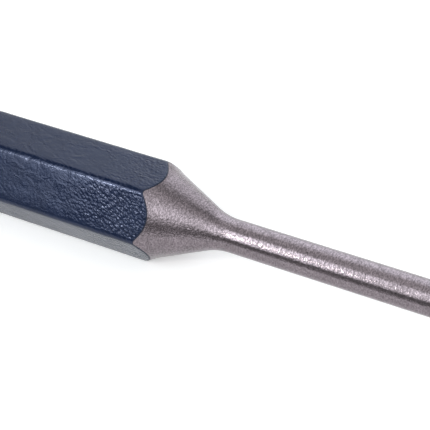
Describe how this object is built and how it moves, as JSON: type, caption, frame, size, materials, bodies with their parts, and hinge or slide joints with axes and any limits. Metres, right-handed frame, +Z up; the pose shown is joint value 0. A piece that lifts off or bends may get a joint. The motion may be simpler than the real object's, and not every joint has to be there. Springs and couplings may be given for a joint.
{
  "type": "pin punch",
  "caption": "Pin punch with a textured enamelled hexagon shank, a turned taper and a slim parallel pin for driving out roll pins and dowels.",
  "frame": {"origin": "on the surface that the punch lies on, under the middle of its length and width", "axes": "+X along the tool towards the tip of the pin, +Z up from the flat it lies on, +Y across the shank towards two opposite edges"},
  "size_m": [0.15, 0.0092, 0.0082],
  "materials": {
    "tool_steel": "satin turned and ground tool steel with fine round marks",
    "blue_enamel": "dark blue enamel with a fine leathery grain"
  },
  "bodies": {
    "root": {"punch_blank": "tool_steel", "enamel_coat": "blue_enamel"}
  },
  "joints": []
}
